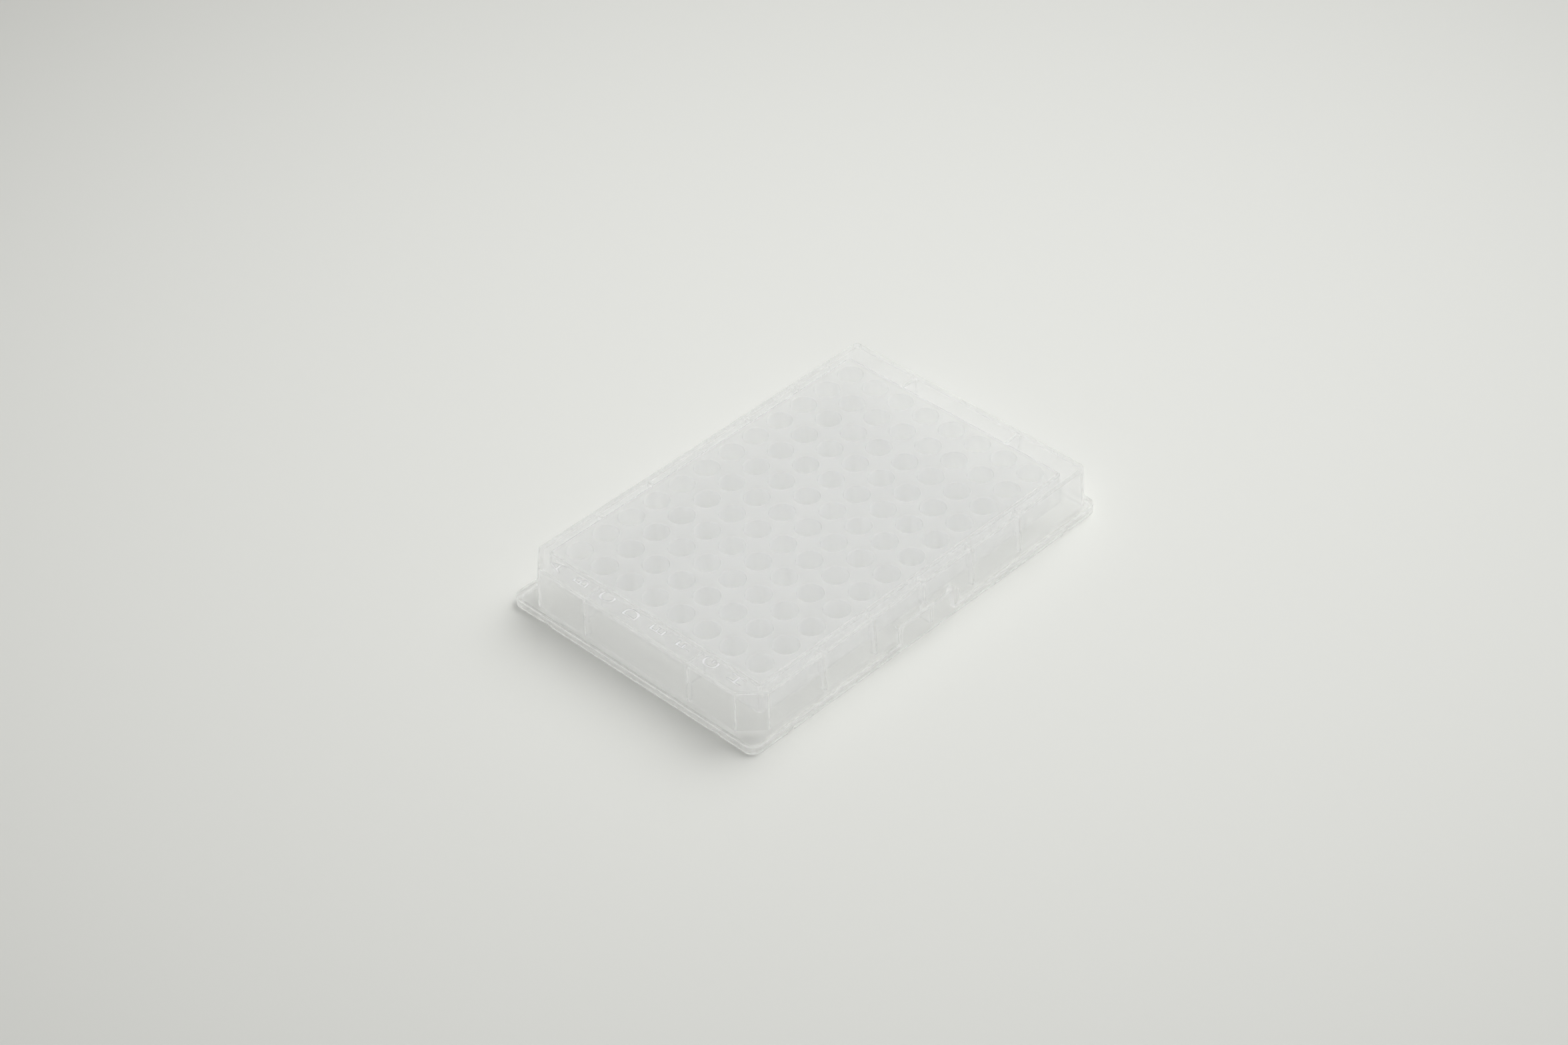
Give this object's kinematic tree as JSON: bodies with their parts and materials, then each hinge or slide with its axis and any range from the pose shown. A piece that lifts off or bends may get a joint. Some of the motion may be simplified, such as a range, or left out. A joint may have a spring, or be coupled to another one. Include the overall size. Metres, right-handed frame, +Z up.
{
  "type": "well plate",
  "caption": "Low rectangular microplate moulded in one piece, with a grid of round flat-bottomed wells under a flat deck, a skirt with a flange and two corner notches.",
  "frame": {"origin": "centre of the footprint, on the surface the plate stands on", "axes": "+X along the long side towards the last column, away from the notched corners; +Y along the short side towards row A; +Z up, out of the wells"},
  "size_m": [0.1278, 0.0854, 0.0143],
  "materials": {
    "polypropylene": "natural unpigmented polypropylene, translucent, smooth satin as moulded"
  },
  "bodies": {
    "root": {"well_plate": "polypropylene"}
  },
  "joints": []
}
